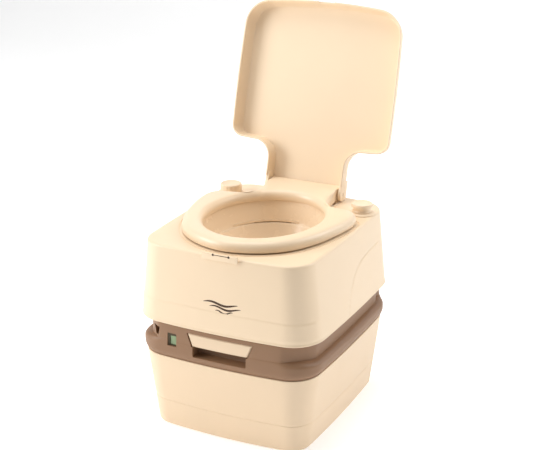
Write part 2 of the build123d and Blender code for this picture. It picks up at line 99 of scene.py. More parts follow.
# ================================================================ outlines
def half_turn_arc(centre, start, end, count):
    """Points on the short arc about centre from start to end, without the last one."""
    first = math.atan2(start[1] - centre[1], start[0] - centre[0])
    last = math.atan2(end[1] - centre[1], end[0] - centre[0])
    radius = math.hypot(start[0] - centre[0], start[1] - centre[1])
    angles = np.linspace(first, last, count, endpoint=False)
    return np.c_[centre[0] + radius * np.cos(angles), centre[1] + radius * np.sin(angles)]


def plan_outline(plan):
    """Rounded rectangle with bowed sides, counter-clockwise from the front's centre."""
    half_width, half_depth, corner = plan
    x = half_width - SIDE_BOW
    y = half_depth - FRONT_BOW
    front_r = (x * x + FRONT_BOW ** 2) / (2 * FRONT_BOW)
    side_r = (y * y + SIDE_BOW ** 2) / (2 * SIDE_BOW)
    front_c = np.array([0.0, -half_depth + front_r])
    side_c = np.array([half_width - side_r, 0.0])
    far = np.linalg.norm(side_c - front_c)
    to_front, to_side = front_r - corner, side_r - corner
    along = (to_front ** 2 - to_side ** 2 + far ** 2) / (2 * far)
    across = math.sqrt(to_front ** 2 - along ** 2)
    direction = (side_c - front_c) / far
    normal = np.array([direction[1], -direction[0]])
    choices = [front_c + along * direction + sign * across * normal for sign in (-1, 1)]
    centre = max(choices, key=lambda c: c[0] - c[1])
    on_front = front_c + (centre - front_c) * front_r / to_front
    on_side = side_c + (centre - side_c) * side_r / to_side
    quarter = np.vstack([
        half_turn_arc(front_c, (0, -half_depth), on_front, QUARTER[0]),
        half_turn_arc(centre, on_front, on_side, QUARTER[1]),
        half_turn_arc(side_c, on_side, (half_width, 0), QUARTER[2]),
    ])
    right_side = np.array([[half_width, 0.0]])
    rear = quarter[::-1] * (1, -1)
    right = np.vstack([quarter, right_side, rear])
    left = right[1:-1][::-1] * (-1, 1)
    return np.vstack([right, left])


def outward(outline):
    """Unit normals of a counter-clockwise outline."""
    run = np.roll(outline, -1, 0) - np.roll(outline, 1, 0)
    normal = np.c_[run[:, 1], -run[:, 0]]
    return normal / np.linalg.norm(normal, axis=1)[:, None]


def plan_between(low_plan, high_plan, low, high, z):
    """Outline at a height on a wall that runs straight from one plan to another."""
    share = (z - low) / (high - low)
    return plan_outline(tuple(a + (b - a) * share for a, b in zip(low_plan, high_plan)))


def ring(outline, z, inset=0.0):
    """Outline moved inwards and set at a height; z may be one number or one for each point."""
    flat = outline - outward(outline) * np.reshape(inset, (-1, 1))
    return np.c_[flat, np.broadcast_to(z, len(flat))]


def tub_ring(z, inset=0.0):
    return ring(plan_between(BASE_PLAN, TUB_TOP_PLAN, 0, Z_SEAM, z), z, inset)


def band_outline(z):
    return plan_between(BAND_LOW_PLAN, BAND_TOP_PLAN, Z_SEAM, Z_RIM, z)


def shell_outline(z):
    return plan_between(LIP_PLAN, DECK_PLAN, Z_LIP, Z_DECK, z)


def front_y(outline, x):
    """Y of an outline's front at x."""
    front = outline[outline[:, 1] < FRONT_ZONE]
    front = front[np.argsort(front[:, 0])]
    return np.interp(x, front[:, 0], front[:, 1])


def rounded(radius, start, end, steps):
    """(setback, rise) pairs along a quarter round, angles in degrees from the vertical wall."""
    angles = np.radians(np.linspace(start, end, steps))
    return [(radius * (1 - math.cos(a)), radius * math.sin(a)) for a in angles]


def smooth_step(value, low, high):
    """Share that runs smoothly from 0 at low to 1 at high."""
    share = np.clip((value - low) / (high - low), 0, 1)
    return share * share * (3 - 2 * share)


# ================================================================ meshes
def new_object(name, mesh):
    piece = bpy.data.objects.new(name, mesh)
    bpy.context.scene.collection.objects.link(piece)
    return piece


def loft(name, rings, joined=False):
    """Closed skin through rings of equal length, with flat ends, or as a torus when joined."""
    count = len(rings[0])
    points = np.vstack(rings) * MM
    faces = []
    pairs = list(zip(range(len(rings) - 1), range(1, len(rings))))
    if joined:
        pairs.append((len(rings) - 1, 0))
    for low, high in pairs:
        for i in range(count):
            j = (i + 1) % count
            faces.append((low * count + i, low * count + j, high * count + j, high * count + i))
    if not joined:
        faces.append(tuple(reversed(range(count))))
        faces.append(tuple((len(rings) - 1) * count + i for i in range(count)))
    return solid(name, points, faces)


def solid(name, points, faces):
    """Object from points in metres and faces, with all normals turned outwards."""
    mesh = bpy.data.meshes.new(name)
    mesh.from_pydata(np.asarray(points).tolist(), [], faces)
    work = bmesh.new()
    work.from_mesh(mesh)
    bmesh.ops.recalc_face_normals(work, faces=work.faces)
    work.to_mesh(mesh)
    work.free()
    mesh.update()
    return new_object(name, mesh)


def evaluated(piece):
    """Applies the piece's modifiers to its own mesh."""
    bpy.context.view_layer.update()
    graph = bpy.context.evaluated_depsgraph_get()
    mesh = bpy.data.meshes.new_from_object(piece.evaluated_get(graph))
    piece.modifiers.clear()
    piece.data = mesh
    return piece


def combine(piece, tool, operation="DIFFERENCE"):
    """Cuts, joins or intersects a piece with a tool, and removes the tool."""
    modifier = piece.modifiers.new("combine", "BOOLEAN")
    modifier.operation = operation
    modifier.solver = "EXACT"
    modifier.object = tool
    evaluated(piece)
    bpy.data.objects.remove(tool)
    return piece


def join_all(piece, *tools):
    for tool in tools:
        combine(piece, tool, "UNION")


def cut_all(piece, *tools):
    for tool in tools:
        combine(piece, tool)


def bevel(piece, width):
    """Rounds the piece's sharp edges."""
    modifier = piece.modifiers.new("bevel", "BEVEL")
    modifier.width = width * MM
    modifier.segments = 3
    modifier.limit_method = "ANGLE"
    modifier.angle_limit = math.radians(35)
    return evaluated(piece)


def slab(name, points, axis, low, high):
    """Prism along an axis. Its flat outline is given in the other two axes, in order."""
    rings = []
    for level in (low, high):
        flat = np.array(points, float)
        rings.append(np.insert(flat, axis, level, axis=1))
    return loft(name, rings)


def box_tool(x, y, z, round_by=0.0):
    tool = slab("tool", [(x[0], y[0]), (x[1], y[0]), (x[1], y[1]), (x[0], y[1])], 2, z[0], z[1])
    return bevel(tool, round_by) if round_by else tool


def circle(centre, radius, count=48):
    """Points of a circle, counter-clockwise from its right."""
    angles = np.linspace(0, 2 * math.pi, count, endpoint=False)
    return np.c_[centre[0] + radius * np.cos(angles), centre[1] + radius * np.sin(angles)]


def cylinder_tool(centre, radius, axis, low, high, count=48):
    return slab("tool", circle(centre, radius, count), axis, low, high)


def turned(name, profile, centre, count, ribs=None, joined=False):
    """Solid of revolution about a vertical axis from (radius, z) points, with or without grip ribs."""
    x, y = centre
    angles = np.linspace(0, 2 * math.pi, count, endpoint=False)
    rings = []
    for radius, z in profile:
        radii = radius + (ribs(angles, z) if ribs else 0)
        rings.append(np.c_[x + radii * np.cos(angles), y + radii * np.sin(angles), np.full(count, z)])
    return loft(name, rings, joined)


def corner_path(points, radii, steps=8):
    """Profile through points with rounded corners, for turned and lofted sections."""
    path = [points[0]]
    for before, here, after, radius in zip(points, points[1:], points[2:], radii):
        a, b, c = np.array(before, float), np.array(here, float), np.array(after, float)
        back, on = (a - b) / np.linalg.norm(a - b), (c - b) / np.linalg.norm(c - b)
        half = math.acos(max(-1, min(1, float(back @ on)))) / 2
        reach = radius / math.tan(half)
        centre = b + (back + on) / np.linalg.norm(back + on) * radius / math.sin(half)
        start, end = b + back * reach - centre, b + on * reach - centre
        first, last = math.atan2(start[1], start[0]), math.atan2(end[1], end[0])
        turn = (last - first + math.pi) % (2 * math.pi) - math.pi
        for share in np.linspace(0, 1, steps):
            angle = first + turn * share
            path.append(tuple(centre + radius * np.array([math.cos(angle), math.sin(angle)])))
    path.append(points[-1])
    return path


def done(piece, body, material, stands_for=(), crease=32):
    """Shades a finished piece, gives it its material, hangs it on its body and hides the CAD parts it stands
    for.
    """
    mesh = piece.data
    mesh.polygons.foreach_set("use_smooth", [True] * len(mesh.polygons))
    mesh.set_sharp_from_angle(angle=math.radians(crease))
    mesh.materials.clear()
    mesh.materials.append(material)
    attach(piece, body)
    if stands_for:
        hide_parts(*stands_for)
    return piece


# ================================================================ materials
def srgb(red, green, blue):
    """Linear colour from 0-255 values."""
    def linear(value):
        value /= 255
        return value / 12.92 if value <= 0.04045 else ((value + 0.055) / 1.055) ** 2.4
    return (linear(red), linear(green), linear(blue), 1.0)


def moulded(name, colour, roughness=0.38, grain=900.0, depth=0.05, shade=0.06, coat=0.0):
    """Moulded plastic: fine bump, soft mottling of colour and gloss, a little handling wear."""
    material = bpy.data.materials.new(name)
    material.use_nodes = True
    nodes, links = material.node_tree.nodes, material.node_tree.links
    shader = nodes["Principled BSDF"]
    place = nodes.new("ShaderNodeTexCoord")

    def noise(scale, detail):
        node = nodes.new("ShaderNodeTexNoise")
        node.inputs["Scale"].default_value = scale
        node.inputs["Detail"].default_value = detail
        links.new(place.outputs["Object"], node.inputs["Vector"])
        return node

    cloudy = noise(9.0, 4.0)
    tint = nodes.new("ShaderNodeMix")
    tint.data_type = "RGBA"
    tint.inputs["A"].default_value = [channel * (1 - shade) for channel in colour[:3]] + [1.0]
    tint.inputs["B"].default_value = colour
    links.new(cloudy.outputs["Fac"], tint.inputs["Factor"])
    links.new(tint.outputs["Result"], shader.inputs["Base Color"])
    polish = nodes.new("ShaderNodeMapRange")
    polish.inputs["To Min"].default_value = roughness - 0.05
    polish.inputs["To Max"].default_value = roughness + 0.08
    smears = noise(28.0, 6.0)
    links.new(smears.outputs["Fac"], polish.inputs["Value"])
    links.new(polish.outputs["Result"], shader.inputs["Roughness"])
    fine = noise(grain, 2.0)
    bump = nodes.new("ShaderNodeBump")
    bump.inputs["Strength"].default_value = depth
    bump.inputs["Distance"].default_value = 0.0004
    links.new(fine.outputs["Fac"], bump.inputs["Height"])
    links.new(bump.outputs["Normal"], shader.inputs["Normal"])
    shader.inputs["Coat Weight"].default_value = coat
    shader.inputs["Coat Roughness"].default_value = 0.25
    return material


SHELL = moulded("shell_beige", srgb(242, 217, 184), 0.40, coat=0.15)
TUB = moulded("tub_beige", srgb(237, 211, 178), 0.42, coat=0.1)
LID = moulded("lid_beige", srgb(249, 225, 193), 0.45)
SEAT = moulded("seat_beige", srgb(241, 217, 185), 0.38, depth=0.02, coat=0.15)
BOWL = moulded("bowl_beige", srgb(246, 222, 190), 0.25, depth=0.01, coat=0.5)
BAND = moulded("band_brown", srgb(146, 110, 80), 0.48, 1400.0, 0.22, 0.08)
HANDLE = moulded("handle_beige", srgb(234, 208, 176), 0.40)
GREY = moulded("internal_grey", srgb(150, 148, 142), 0.5)
RUBBER = moulded("seal_rubber", srgb(34, 32, 30), 0.7, 500.0, 0.1)
PAD = moulded("bumper_rubber", srgb(205, 180, 150), 0.7)
STEEL = moulded("spring_steel", srgb(170, 170, 172), 0.3)
STEEL.node_tree.nodes["Principled BSDF"].inputs["Metallic"].default_value = 1.0
GAUGE = moulded("gauge_green", srgb(96, 176, 84), 0.4)
HOSE = moulded("hose_clear", srgb(196, 192, 176), 0.35)
# Dark brown for the printed wave mark, and painted shade on the latch tab's strip in place of its shadowed
# slot.
PRINT_AND_SHADE_BROWN = moulded("print_and_shade_brown", srgb(74, 50, 34), 0.7)
# Painted shade: dark brown of the level window's shadowed recess walls.
SHADE = moulded("window_recess_shade", srgb(78, 66, 44), 0.7)
PIN = moulded("pin_coated", srgb(236, 210, 180), 0.4)


def lens_material():
    """Partly clear plastic of the level window."""
    material = moulded("window_clear", srgb(198, 222, 172), 0.12)
    shader = material.node_tree.nodes["Principled BSDF"]
    shader.inputs["Transmission Weight"].default_value = 0.55
    shader.inputs["IOR"].default_value = 1.45
    return material


LENS = lens_material()

SLOT_MATERIALS = {
    "shell_beige": SHELL, "tub_beige": TUB, "lid_beige": LID, "seat_beige": SEAT, "bowl_beige": BOWL,
    "band_brown": BAND, "handle_beige": HANDLE, "internal_grey": GREY, "seal_rubber": RUBBER,
    "bumper_rubber": PAD, "spring_steel": STEEL, "pin_steel": PIN, "window_clear": LENS,
    "gauge_green": GAUGE, "hose_clear": HOSE,
}


def dress_cad_nodes():
    """Gives every carried-over CAD node its procedural material."""
    for row in frame["record"]["subparts"]:
        mesh = frame["nodes"][row["node"]].data
        mesh.materials.clear()
        mesh.materials.append(SLOT_MATERIALS[row["material_slot"]])


# ================================================================ holding tank
def make_tub():
    """Tub with a rounded foot, a faint moulded rib line and an open top."""
    high, foot_radius, line_z = Z_SEAM - 0.1, 4.5, 57.0
    rings = [tub_ring(WALL, WALL + 5), tub_ring(4, WALL + 1.5)]
    rings += [tub_ring(z, WALL) for z in (6, 20, 60, 100, 140, high)]
    upper = [high, high - 0.6, high - 3, 150, 120, 90, 70]
    for z in np.concatenate([upper, np.arange(62, 52, -0.5), [45, 30, 15]]):
        groove = 0.9 * math.exp(-((z - line_z) / 1.3) ** 2)
        edge = 0.7 if z == high else 0.0
        rings.append(tub_ring(z, groove + edge))
    for setback, drop in rounded(foot_radius, 0, 90, 7):
        rings.append(tub_ring(foot_radius - drop, setback))
    return loft("tub", rings)


def band_ring(z, inset=0.0, groove=0.0):
    """Band's ring near a height. Groove 0-1 pulls the sides in to the grip grooves."""
    outline = band_outline(z)
    x, y = outline[:, 0], outline[:, 1]
    reach = smooth_step(np.abs(x), 104, 144) * (1 - smooth_step(y, 176, 192))
    rise = 6.0 * np.interp(z, (168, 188, 225), (0, 1, 0)) * smooth_step(-y, 150, 205)
    depth = np.sum((outline - plan_outline(GROOVE_PLAN)) * outward(outline), axis=1)
    return ring(outline, z + rise, inset + depth * groove * reach)


def make_band():
    """Brown half's skin: bulging band with grip grooves, rim and deck."""
    rings = [band_ring(z, WALL, 1.0) for z in (Z_TANK_DECK - WALL, 187)]
    rings.append(band_ring(181, WALL + 1, 0.45))
    rings += [band_ring(z, WALL + 1) for z in (176, 172, Z_SEAM + 7.5)]
    foot = [(7.5, 12.0), (0.0, 12.0), (0.0, 5.4), (2.4, 5.4), (2.9, 5.0), (3.3, 4.4), (4.2, 3.2)]
    bulge = [(5.6, 2.1), (7.4, 1.1), (9.6, 0.2), (12.0, -0.5), (16.0, -0.9), (19.0, -0.9)]
    rings += [band_ring(Z_SEAM + height, inset) for height, inset in foot + bulge]
    last = math.radians(84)
    for angle in np.linspace(0, last, 13):
        share = (1 - math.cos(angle)) / (1 - math.cos(last))
        rings.append(band_ring(178.5 + 9.0 * math.sin(angle), -0.9 * math.cos(angle), 0.9 * share))
    for z in (187.9, 194, 200, 206, 210, 216, 222, 225.5):
        rings.append(band_ring(z, 0.0, 1.0))
    rings += [band_ring(Z_RIM - 0.3, 0.4, 1.0), band_ring(Z_RIM, 1.0, 1.0), band_ring(Z_RIM, 2.2, 1.0)]
    rings += [band_ring(Z_RIM - 0.6, WALL, 1.0), band_ring(Z_TANK_DECK, WALL, 1.0)]
    return loft("band", rings)


def cut_band(band):
    """Openings and housings of the band, as on the CAD part."""
    pocket, floor, under_deck = 64.3, 199.0, Z_TANK_DECK - 0.5

    def housing(x, y, z, plan=BAND_TOP_PLAN):
        limit = ring(plan_outline(plan), 0.0, 0.6)[:, :2]
        return combine(box_tool(x, y, z), slab("tool", limit, 2, 150, 230), "INTERSECT")

    # Housings of the valve pocket, handle bay, spout trough, blind recess and vent.
    join_all(
        band,
        housing((-pocket - WALL, pocket + WALL), (-200, pocket + WALL), (floor - WALL, under_deck)),
        housing((FRONT_X - 73, FRONT_X + 73), (-214, -185), (168, under_deck)),
        housing((-20, 154), (162, 214), (174, under_deck)),
        housing((-153, -122), (-214, -180), (194, 217.5), GROOVE_PLAN),
        cylinder_tool(VENT, 14, 2, 206, under_deck),
    )
    # Valve pocket and opening, handle bay, finger recess and the valve blade's way.
    bay = [(FRONT_X - 59, 190.4), (FRONT_X + 59, 190.4), (FRONT_X + 69.5, 217.6), (FRONT_X - 69.5, 217.6)]
    cut_all(
        band,
        box_tool((-pocket, pocket), (-185.0, pocket), (floor, Z_RIM + 1)),
        cylinder_tool((0, 0), OPEN_R + 2, 2, 190, 201),
        bevel(slab("tool", bay, 1, -220, -188), 1.5),
        box_tool((FRONT_X - 56, FRONT_X + 56), (-222, -188), (171, 192.5), 2.5),
        box_tool((-55.4, 55.4), (-192, -184), (205.7, 209.3)),
    )
    # Spout trough, rear clip, spout bore, vent, level window and blind recess.
    notch = [(-138, 198), (-130.5, 198), (-126, 215.5), (-144, 215.5)]
    cut_all(
        band,
        box_tool((-17, 151), (165, 230), (177, Z_TANK_DECK - WALL), 2.0),
        box_tool((-20, 20), (208, 220), (170, Z_RIM + 1)),
        cylinder_tool(SPOUT[:2], 12.06, 2, 170, 178),
        cylinder_tool(VENT, 11, 2, 209, Z_TANK_DECK + 1),
        cylinder_tool(VENT, 3.1, 2, 200, 210),
        box_tool((-108, -88), (-220, -200), (183, 209), 1.5),
        bevel(slab("tool", notch, 1, -222, -186), 0.4),
    )
    return band


# ================================================================ flush unit
def mould_lines(points):
    """Height of the moulded step on the shell's front and of the fine line that sweeps up its sides."""
    x, y, z = points[:, 0], points[:, 1], points[:, 2]
    step_z = 272 - 2 * smooth_step(np.abs(x), 60, 170)
    on_front = smooth_step(-y, 150, 172)
    step = 0.9 * on_front * smooth_step(step_z + 1.2 - z, 0, 2.4) * smooth_step(z, 232, 240)
    top, drop, reach = 323, 38.5, 30
    fall = drop * np.exp(-(y + 10) / reach)
    away = (z - (top - fall)) / np.sqrt(1 + (fall / reach) ** 2)
    on_side = smooth_step(np.abs(x), 160, 170) * smooth_step(y, -42, -34) * smooth_step(-y, -150, -125)
    return step - 1.3 * on_side * np.exp(-(away / 1.3) ** 2)


def shell_ring(z, inset=0.0):
    outline = shell_outline(z)
    points = ring(outline, z, inset)
    points[:, :2] += outward(outline) * mould_lines(points)[:, None]
    return points


def make_shell():
    """Flush tank's outer shell with its lip, deck, hinge well, latch pocket and clip pocket."""
    top = Z_DECK - WALL
    rings = [shell_ring(top, WALL + 8), shell_ring(top - 1, WALL + 3), shell_ring(top - 4, WALL)]
    rings += [shell_ring(z, WALL) for z in (340, 300, 260, Z_LIP + 1)]
    lip = [(0.0, WALL - 0.6), (0.0, 1.8), (0.3, 0.9), (0.9, -0.3), (2.0, -0.9), (3.2, -0.8), (4.4, -0.2)]
    rings += [shell_ring(Z_LIP + rise, inset) for rise, inset in lip + [(5.4, 0.0)]]
    rings += [shell_ring(z) for z in np.concatenate([np.arange(234, 330, 1.5), [335, 350, 365]])]
    radius = 4.5
    rings += [shell_ring(Z_DECK - radius + rise, setback) for setback, rise in rounded(radius, 0, 88, 8)]
    rings.append(shell_ring(Z_DECK, radius + 4))
    shell = loft("flush_tank", rings)

    # Hinge well with its two ears.
    half, front, rear, floor = 78.0, 150.0, 190.8, 371.0
    well = box_tool((-half - WALL, half + WALL), (front - WALL, rear + WALL), (floor - WALL, Z_DECK - 0.5))
    shell = combine(shell, well, "UNION")
    shell = combine(shell, box_tool((-half, half), (front, rear), (floor, Z_DECK + 1)))
    for side in (-1, 1):
        ear_x = sorted((side * 50.0, side * 66.0))
        ear = box_tool(ear_x, (HINGE_Y - 6.3, HINGE_Y + 6.3), (floor - 1, HINGE_Z))
        ear = combine(ear, cylinder_tool((HINGE_Y, HINGE_Z), 9, 0, *ear_x), "UNION")
        ear = combine(ear, cylinder_tool((HINGE_Y, HINGE_Z), 4, 0, -90, 90))
        shell = combine(shell, ear, "UNION")

    # Pockets of the rear clip and the lid latch, the bowl's hole, and the pump's and fill neck's holes.
    shell = combine(shell, box_tool((-23.9, 23.9), (202, 211), (Z_LIP + 5, 266)), "UNION")
    shell = combine(shell, box_tool((-20, 20), (207.6, 220), (Z_LIP - 1, 262), 1.0))
    latch = box_tool((FRONT_X - 37, FRONT_X + 37), (-206.5, -192), (365.5, Z_DECK - 0.6))
    shell = combine(shell, latch, "UNION")
    shell = combine(shell, box_tool((FRONT_X - 29, FRONT_X + 34), (-215, -195), (374.4, 378.4)))
    shell = combine(shell, loft("tool", [ellipse_ring(z, BOWL_Y, 122, 143) for z in (370, 390)]))
    cut_all(shell, *[cylinder_tool(place, 15, 2, 360, 390) for place in (FILL, PUMP)])

    # Fine groove on the deck round the seat.
    edge = seat_outer()
    section = ((-5.0, 380.0), (-5.0, 382.0), (-6.9, 382.0), (-6.9, 380.0))
    line = loft("tool", [ring(edge, z, inset) for inset, z in section], joined=True)
    return combine(shell, combine(line, box_tool((-200, 200), (-220, 140), (370, 390)), "INTERSECT"))


def ellipse_ring(z, centre_y, half_width, half_depth):
    angles = np.linspace(0, 2 * math.pi, 96, endpoint=False)
    return np.c_[half_width * np.cos(angles), centre_y + half_depth * np.sin(angles), np.full(96, z)]


BOWL_LEVELS = (246, 262, 290, 315, 336)


def bowl_ring(z, offset):
    """Ring outside the bowl's inner wall by offset, at a height below the ledge."""
    centre = np.interp(z, BOWL_LEVELS, (0, -1.5, -4, -6, LEDGE_Y))
    width = np.interp(z, BOWL_LEVELS, (OPEN_R, 60, 80.5, 95.5, 105.5))
    depth = np.interp(z, BOWL_LEVELS, (OPEN_R, 68, 94.5, 113, 125.5))
    return ellipse_ring(z, centre, width + offset, depth + offset)


def neck_ring(z, radius):
    return ellipse_ring(z, 0, radius, radius)


def make_bowl():
    """Bowl with its ledge, flush slit and outlet neck."""
    inside = [ellipse_ring(Z_DECK + 2.4, BOWL_Y, width, width + 21) for width in (121.0, 119.8)]
    for z in (379.5, 375, 360, 350, 345):
        share = (Z_DECK - z) / 45
        inside.append(ellipse_ring(z, BOWL_Y + 4 * share, 119 - 11 * share, 140 - 12 * share))
    ledge = ((341, 108.4), (339.2, 107.6), (338.4, 106.2), (337.6, 104.4), (335.5, 103.4))
    inside += [ellipse_ring(z, LEDGE_Y, width, width + 20) for z, width in ledge]
    inside += [bowl_ring(z, -1.5) for z in np.concatenate([np.arange(332, 250, -5.0), [248.0]])]
    inside += [neck_ring(244, OPEN_R), neck_ring(223, OPEN_R), neck_ring(221.8, OPEN_R + 0.6)]
    outside = [neck_ring(221.8, OPEN_R + 2.6), neck_ring(223, OPEN_R + 3)]
    outside += [bowl_ring(z, 3) for z in BOWL_LEVELS]
    outside += [ellipse_ring(Z_DECK, BOWL_Y, 121.8, 142.8), ellipse_ring(Z_DECK + 2.0, BOWL_Y, 121.5, 142.5)]
    bowl = loft("bowl_moulding", inside + outside, joined=True)

    def prism(width, low, high):
        return loft("tool", [ellipse_ring(z, LEDGE_Y, width, width + 20) for z in (low, high)])

    channel = combine(prism(117.0, 334.5, 344.0), prism(107.5, 330, 350))
    bowl = combine(bowl, combine(channel, box_tool((-98, 12), (20, 140), (330, 350)), "INTERSECT"), "UNION")
    for x, low, high in (((-92, 6), 338.5, 339.5), ((-72, -4), 337.8, 340.2)):
        slit = combine(prism(114.5, low, high), box_tool(x, (40, 140), (330, 345)), "INTERSECT")
        bowl = combine(bowl, slit)
    return bowl


# ---------------------------------------------------------------- seat
def smooth_curve(points):
    """Smooth curve through points, level at its start."""
    path = np.array(points, float)
    tangent = np.gradient(path, axis=0)
    tangent[0, 1] = 0.0
    t = np.linspace(0, 1, 24, endpoint=False)[:, None]
    parts = []
    for a, b, ta, tb in zip(path, path[1:], tangent, tangent[1:]):
        parts.append((2 * t ** 3 - 3 * t ** 2 + 1) * a + (t ** 3 - 2 * t ** 2 + t) * ta
                     + (3 * t ** 2 - 2 * t ** 3) * b + (t ** 3 - t ** 2) * tb)
    return np.vstack(parts + [path[-1:]])


def resample(path, count):
    """Points spaced evenly by length along an open path, ends kept."""
    steps = np.linalg.norm(np.diff(path, axis=0), axis=1)
    travel = np.concatenate([[0], np.cumsum(steps)])
    marks = np.linspace(0, travel[-1], count)
    return np.c_[np.interp(marks, travel, path[:, 0]), np.interp(marks, travel, path[:, 1])]


def mirrored(right):
    """Closes a right half that starts and ends on the centre plane."""
    return np.vstack([right, right[1:-1][::-1] * (-1, 1)])


SEAT_SIDE = [
    (0, -187), (42, -179), (81, -160), (108, -137), (127, -110), (144, -72),
    (155, -30), (162, 8), (164, 40), (160.5, 62), (147, 76), (126, 79.5),
    (103, 84), (91, 92), (83.5, 103), (79.5, 118), (77.5, 134), (76.8, 150),
]
SEAT_HOLE = (-13.0, 113.0, 136.0)       # centre y and half axes


def seat_outer():
    """Seat's outer edge with its hinge tab."""
    side = smooth_curve(SEAT_SIDE)
    corner = corner_path([(TAB_HALF + 0.2, 156), (TAB_HALF, TAB_REAR), (0, TAB_REAR)], [2.0])
    return mirrored(resample(np.vstack([side, corner]), 190))


def matched_inner(outer):
    """Inner outline with one point for each outer point, paired by direction from the hole's centre."""
    centre_y, half_width, half_depth = SEAT_HOLE
    centre = np.array([0, centre_y])
    away = outer - centre
    angles = np.arctan2(away[:, 1] / 1.25, away[:, 0])
    return centre + np.c_[half_width * np.cos(angles), half_depth * np.sin(angles)]


def make_seat():
    """Crowned seat ring that runs into its hinge tab, hollow underneath."""
    outer = seat_outer()
    inner = matched_inner(outer)
    width = np.linalg.norm(outer - inner, axis=1)
    across = (outer - inner) / width[:, None]
    in_tab = smooth_step(outer[:, 1], 128, 160)

    def at(distance, z):
        """Ring at a distance from the inner edge."""
        flat = inner + across * np.reshape(distance, (-1, 1))
        return np.c_[flat, np.broadcast_to(z, len(flat))]

    def on_top(distance, drop=0.0):
        """Ring on the crowned top, lowered by drop where the top rounds into an edge."""
        distance = np.broadcast_to(distance, len(inner))
        y = (inner + across * distance[:, None])[:, 1]
        crown = Z_SEAT_TOP - 1.6 * (2 * (distance / width) - 0.9) ** 2 * (1 - in_tab)
        lift = smooth_step(y, 116, 168) * (Z_TAB_TOP - Z_SEAT_TOP)
        lift = lift * smooth_step(TAB_HALF + 26 - np.abs(outer[:, 0]), 0, 24)
        return at(distance, crown + lift - drop)

    inner_r = 11.0
    outer_r = 10.5 - 8.0 * in_tab
    rings = [at(4.0, Z_SEAT_LOW), at(1.2, Z_SEAT_LOW), at(0.3, Z_SEAT_LOW + 1)]
    rings.append(at(0.0, Z_SEAT_TOP - inner_r - 1))
    for angle in np.radians(np.linspace(0, 80, 8)):
        rings.append(on_top(inner_r * (1 - math.cos(angle)), inner_r * (1 - math.sin(angle))))
    for share in np.linspace(0.0, 1.0, 9)[1:-1]:
        rings.append(on_top(inner_r + (width - outer_r - inner_r) * share))
    for angle in np.radians(np.linspace(80, 0, 9)):
        rings.append(on_top(width - outer_r * (1 - math.cos(angle)), outer_r * (1 - math.sin(angle))))
    low = Z_SEAT_LOW + 2.0 * in_tab
    rings += [at(width, low + 1.2), at(width - 0.4, low + 0.3), at(width - 1.2, low), at(width - 4, low)]
    rings += [at(width - 4.2, 397.0), at(4.2, 397.0)]
    seat = loft("seat_ring", rings, joined=True)
    seat = combine(seat, box_tool((-70, 70), (150, 200), (370, Z_TAB_TOP - WALL)))
    return combine(seat, cylinder_tool((HINGE_Y, HINGE_Z), PIN_R, 0, -90, 90))


# ---------------------------------------------------------------- lid
def lid_outline():
    """Closed lid's plan: bowed front and sides, two rear lobes, concave notches and a neck."""
    plan = plan_outline(DECK_PLAN)
    front = plan[(plan[:, 0] >= 0) & (plan[:, 1] < 50)]
    bends = [tuple(front[-1]), (175.5, 82.0), (85.0, 87.0), (85.0, PANEL_REAR), (0.0, PANEL_REAR)]
    rear = corner_path(bends, [26.0, 34.0, 1.0], 14)
    right = np.vstack([front, np.array(rear[1:])])
    return mirrored(resample(right, 230))


def open_lid(piece):
    """Turns a closed lid mesh about the hinge pins to its place at rest."""
    cosine, sine = math.cos(LID_OPEN), math.sin(LID_OPEN)
    for vertex in piece.data.vertices:
        y, z = vertex.co.y - HINGE_Y * MM, vertex.co.z - HINGE_Z * MM
        vertex.co.y = HINGE_Y * MM + y * cosine + z * sine
        vertex.co.z = HINGE_Z * MM - y * sine + z * cosine
    piece.data.update()
    return piece


